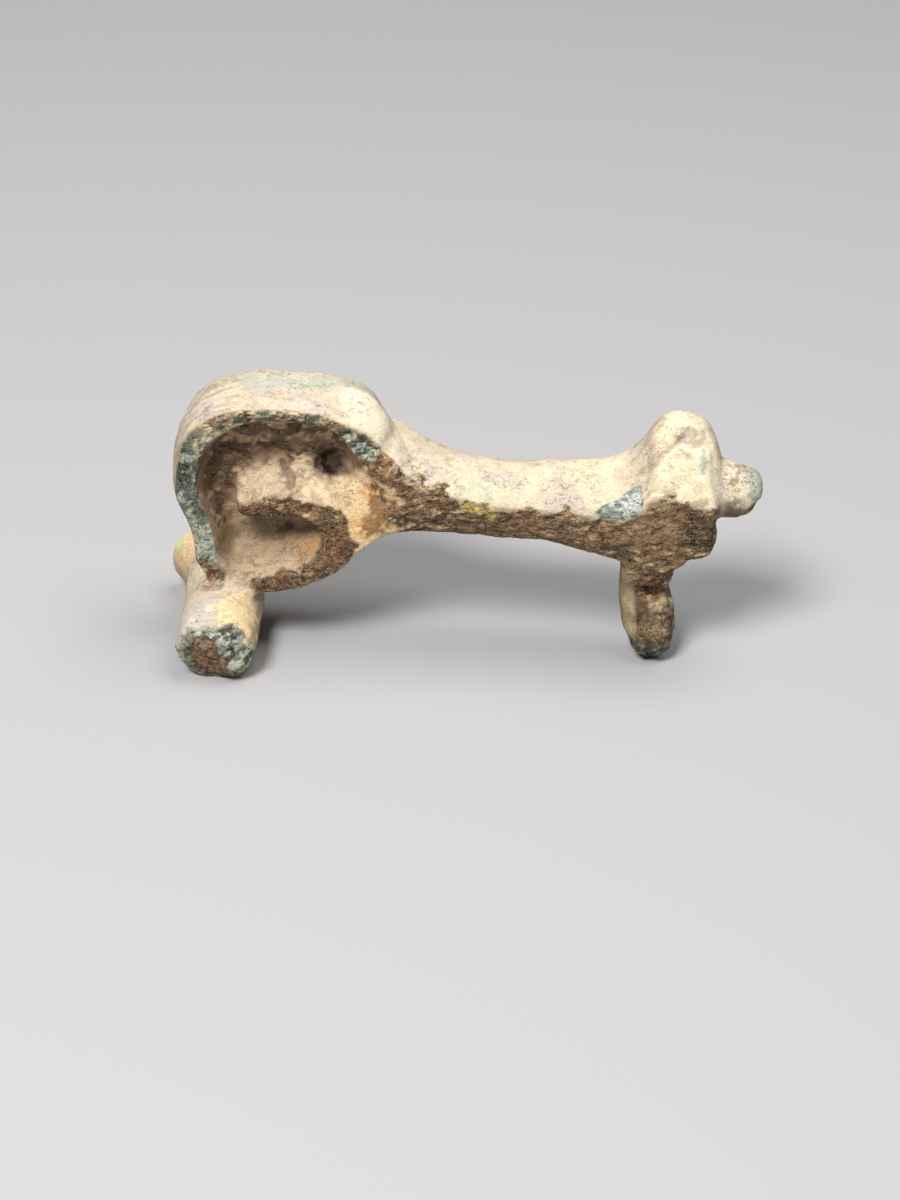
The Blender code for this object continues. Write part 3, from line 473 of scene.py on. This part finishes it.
# The crossbar: the near arm lavender and cream, yellow where it was rubbed, green and brown at its break,
# and the far arm orange, with a spot of green
near_arm = fade(z + 0.5 * grain(1.2, 3, 26), 6.0, 4.8) * fade(x, -10.8, -11.4) * fade(y, -1.8, -2.6)
paint((0.60, 0.50, 0.38), near_arm * fade(up, -0.2, 0.2))
lavender = fade(x + 0.6 * grain(1.0, 4, 64), -14.0, -15.4) * fade(y + 0.5 * grain(1, 3, 27), -2.6, -3.8)
paint((0.56, 0.51, 0.455), near_arm * lavender)
rubbed = x - 0.9 * np.clip(y + 4.1, 0, 3) + 0.35 * np.clip(y + 4.5, -3, 0) + 0.6 * grain(1.3, 4, 65)
rubbed = fade(rubbed, -15.4, -14.9)
paint((0.82, 0.65, 0.39), near_arm * rubbed * fade(up, -0.2, 0.1))
paint((0.36, 0.265, 0.175), 0.8 * near_arm * fade(x + 0.25 * grain(0.6, 4, 28), -12.75, -12.5))
far_arm = fade(z, 5.6, 5.0) * fade(x, -10.8, -11.4) * fade(y + 0.9 * grain(1.3, 4, 89), 2.4, 3.6)
paint((0.66, 0.45, 0.25), 0.8 * far_arm * fade(up, -0.2, 0.2) * (1 - far_end))
paint((0.52, 0.60, 0.32), 0.9 * near([(-18.4, 4.7, 3.6)], 1.3))
paint((0.22, 0.245, 0.20), arm_end)
darker = grain(0.7, 4, 67) - 0.4 * fade(x, -15.5, -14.0)
paint((0.035, 0.040, 0.032), 0.95 * arm_end * fade(darker, 0.1, -0.2))
pale = grain(0.45, 4, 68) + 0.4 * fade(x, -15.2, -13.8)
paint((0.70, 0.74, 0.60), 0.9 * arm_end * fade(pale, 0.36, 0.55))
paint((0.62, 0.52, 0.38), 0.9 * arm_end * blot([(-15.9, -5.4, 4.3), (-15.0, -5.4, 4.5)], 0.8, 83, 0.5))
paint((0.105, 0.055, 0.032), core)
paint((0.030, 0.017, 0.012), 0.9 * core * fade(grain(0.6, 4, 74), 0.05, -0.3))
paint((0.30, 0.19, 0.115), core * fade(grain(0.5, 4, 69), 0.15, 0.4))

# Darker in whatever lies deep, and pale wear on what stands proud
paint((0.10, 0.07, 0.048), 0.55 * fade(proud, -0.008, -0.06))
paint((0.70, 0.62, 0.50), 0.35 * fade(proud, 0.015, 0.07) * (1 - crust))

# What the finish reads from the skin: the laid colours, and how much of it is crust and how much is green
coat = skin.color_attributes.new("tint", "FLOAT_COLOR", "POINT")
opaque = np.column_stack([np.clip(tint, 0, 1), np.ones(count)])
coat.data.foreach_set("color", opaque.ravel().astype(np.float32))
green = np.maximum.reduce([green, patch, crescent, 0.8 * lip, 0.7 * tip, arm_end * (1 - core)])
# The stained slope and the painted shadow under the band take some of the crust's strokes
stained_and_shaded = np.maximum(0.45 * fade(slope, 0.1, 0.5), 0.5 * shaded)
for name, values in (("crust", np.maximum.reduce([crust, core, stained_and_shaded]) * (1 - green)), ("green", green)):
    layer = skin.attributes.new(name, "FLOAT", "POINT")
    layer.data.foreach_set("value", np.clip(values, 0, 1).astype(np.float32))
bpy.ops.object.shade_smooth()

# The patina as a finish: the laid colours, broken up by grains, fibres and cracks finer than the mesh
patina = bpy.data.materials.new("patinated_bronze")
patina.use_nodes = True
nodes = patina.node_tree.nodes
wires = patina.node_tree.links
shader = nodes["Principled BSDF"]
place_on_brooch = nodes.new("ShaderNodeTexCoord")


def laid(name, output):
    """What is laid on the skin under that name."""
    found = nodes.new("ShaderNodeAttribute")
    found.attribute_name = name
    return found.outputs[output]


def mottle(size, detail=4.0, stretch=(1, 1, 1), shift=0.0, twist=0.0):
    """Cloudy variation from 0 to 1, with patches of that size in millimetres."""
    placed = nodes.new("ShaderNodeMapping")
    placed.inputs["Scale"].default_value = stretch
    placed.inputs["Location"].default_value = (shift, shift, shift)
    clouds = nodes.new("ShaderNodeTexNoise")
    clouds.inputs["Scale"].default_value = 1 / (size * MM)
    clouds.inputs["Detail"].default_value = detail
    clouds.inputs["Roughness"].default_value = 0.6
    clouds.inputs["Distortion"].default_value = twist
    wires.new(place_on_brooch.outputs["Object"], placed.inputs["Vector"])
    wires.new(placed.outputs["Vector"], clouds.inputs["Vector"])
    return clouds.outputs["Fac"]


def stepped(value, low, high, top=1.0):
    """0 at low and beyond it, top at high and beyond it, with a soft step between."""
    step = nodes.new("ShaderNodeMapRange")
    step.interpolation_type = "SMOOTHSTEP"
    step.inputs["From Min"].default_value = low
    step.inputs["From Max"].default_value = high
    step.inputs["To Max"].default_value = top
    wires.new(value, step.inputs["Value"])
    return step.outputs["Result"]


def combined(operation, first, second):
    """One value from two, or from a value and a number."""
    both = nodes.new("ShaderNodeMath")
    both.operation = operation
    for socket, value in zip(both.inputs, (first, second)):
        if isinstance(value, (int, float)):
            socket.default_value = value
        else:
            wires.new(value, socket)
    return both.outputs["Value"]


def over(under, colour, share, *shares, blend="MIX"):
    """A colour laid over what is under it, as thick as the product of its shares."""
    for other in shares:
        share = combined("MULTIPLY", share, other)
    mix = nodes.new("ShaderNodeMix")
    mix.data_type = "RGBA"
    mix.blend_type = blend
    wires.new(share, mix.inputs[0])
    wires.new(under, mix.inputs[6])
    mix.inputs[7].default_value = (*colour, 1)
    return mix.outputs[2]


def lines(value, width):
    """Thin lines where that variation passes its middle."""
    return stepped(combined("ABSOLUTE", combined("SUBTRACT", value, 0.5), 0), width, 0.0)


crusted = laid("crust", "Fac")
greened = laid("green", "Fac")
bare = combined("SUBTRACT", combined("SUBTRACT", 1.0, crusted), greened)
fine = mottle(0.10, 3.0)
threads = mottle(0.20, 3.0, (0.45, 0.8, 1), 0.02, 2.0)
flecks = mottle(0.13, 3.0, (0.5, 0.9, 1), 0.04, 1.5)
hairs = lines(mottle(0.36, 4.0, (0.6, 0.9, 1), 0.09, 2.5), 0.035)
long_hairs = lines(mottle(0.50, 3.0, (0.35, 0.8, 1), 0.03, 3.0), 0.030)
cracks = lines(mottle(0.55, 5.0, (0.8, 1, 1), 0.05, 1.0), 0.018)
cracks = combined("MULTIPLY", cracks, stepped(mottle(1.6, 3.0, (1, 1, 1), 0.07), 0.46, 0.62))

# Specks and cracks all over, then the strokes of the pale layer, of the crust and of the verdigris
ground = laid("tint", "Color")
ground = over(ground, (0.70, 0.65, 0.60), stepped(fine, 0.50, 0.32, 0.7), blend="MULTIPLY")
ground = over(ground, (0.45, 0.38, 0.32), stepped(threads, 0.54, 0.72, 0.6), bare, blend="MULTIPLY")
ground = over(ground, (1.45, 1.42, 1.35), stepped(threads, 0.46, 0.30, 0.7), bare, blend="MULTIPLY")
ground = over(ground, (0.25, 0.19, 0.15), cracks, 0.6, blend="MULTIPLY")
ground = over(ground, (0.17, 0.065, 0.025), stepped(mottle(0.7), 0.53, 0.66, 0.55), crusted)
ground = over(ground, (0.016, 0.008, 0.005), stepped(threads, 0.51, 0.40, 0.88), crusted)
ground = over(ground, (0.48, 0.31, 0.15), stepped(threads, 0.60, 0.70, 0.6), crusted)
ground = over(ground, (0.012, 0.007, 0.005), stepped(flecks, 0.44, 0.35, 0.7), crusted)
ground = over(ground, (0.92, 0.66, 0.37), stepped(flecks, 0.65, 0.71, 0.85), crusted)
ground = over(ground, (0.60, 0.44, 0.26), hairs, crusted, 0.35)
ground = over(ground, (0.92, 0.68, 0.40), long_hairs, crusted, 0.6)
ground = over(ground, (0.014, 0.018, 0.014), stepped(threads, 0.50, 0.38, 0.8), greened)
ground = over(ground, (0.54, 0.58, 0.46), stepped(flecks, 0.58, 0.68, 0.7), greened)
ground = over(ground, (0.58, 0.60, 0.46), hairs, greened, 0.35)
wires.new(ground, shader.inputs["Base Color"])

shader.inputs["Roughness"].default_value = 0.75
shader.inputs["Specular IOR Level"].default_value = 0.12
bump = nodes.new("ShaderNodeBump")
bump.inputs["Strength"].default_value = 0.9
bump.inputs["Distance"].default_value = 0.05 * MM
height = combined("ADD", combined("ADD", flecks, threads), combined("MULTIPLY", long_hairs, 0.4))
height = combined("MULTIPLY", height, combined("SUBTRACT", 1.4, bare))
wires.new(combined("SUBTRACT", height, combined("MULTIPLY", cracks, 0.5)), bump.inputs["Height"])
wires.new(bump.outputs["Normal"], shader.inputs["Normal"])
brooch.data.materials.clear()
brooch.data.materials.append(patina)
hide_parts("brooch_casting")
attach(brooch, "root")

# The surface that the brooch stands on: a plain sheet of pale matt paper, laid flat. It is wide enough to
# fill the picture.
bpy.ops.object.select_all(action="DESELECT")
bpy.ops.mesh.primitive_plane_add(size=2.0, location=(0, 0, 0))
floor = bpy.context.object
floor.name = "floor"
paper = bpy.data.materials.new("pale_paper")
paper.use_nodes = True
paper.node_tree.nodes["Principled BSDF"].inputs["Base Color"].default_value = (0.40, 0.40, 0.41, 1)
paper.node_tree.nodes["Principled BSDF"].inputs["Roughness"].default_value = 0.9
floor.data.materials.append(paper)

# The light: a soft window high overhead and a smaller, stronger one above the front left. Both face the
# brooch, and a dim room fills the shadows.
for name, place, size, power in (("overhead window", (0.09, 0.02, 0.33), 0.20, 0.82),
                                 ("front window", (-0.10, -0.17, 0.29), 0.10, 1.50)):
    lamp = bpy.data.lights.new(name, "AREA")
    lamp.size = size
    lamp.energy = power
    lamp.color = (1.0, 0.98, 0.95)
    light = bpy.data.objects.new(name, lamp)
    light.location = place
    light.rotation_euler = (Vector((0, 0, 0.01)) - Vector(place)).to_track_quat("-Z", "Y").to_euler()
    bpy.context.scene.collection.objects.link(light)
room = bpy.data.worlds.new("room")
room.use_nodes = True
room.node_tree.nodes["Background"].inputs["Color"].default_value = (0.9, 0.94, 1.0, 1)
room.node_tree.nodes["Background"].inputs["Strength"].default_value = 0.10
bpy.context.scene.world = room
bpy.context.scene.view_settings.view_transform = "Standard"

# The camera: close above the near side, with a long lens that looks down at 35 degrees. It is rolled a
# little, so that the foot sits lower in the picture.
CAMERA_PLACE = (-0.288 * MM, -138.49 * MM, 100.34 * MM)
CAMERA_PITCH = math.radians(55)
CAMERA_ROLL = math.radians(3)
lens = bpy.data.cameras.new("camera")
lens.lens = 78.54
lens.sensor_width = 36
lens.clip_start = 0.001
camera = bpy.data.objects.new("camera", lens)
camera.matrix_world = (Matrix.Translation(CAMERA_PLACE) @ Matrix.Rotation(CAMERA_PITCH, 4, "X")
                       @ Matrix.Rotation(CAMERA_ROLL, 4, "Z"))
bpy.context.scene.collection.objects.link(camera)
bpy.context.scene.camera = camera
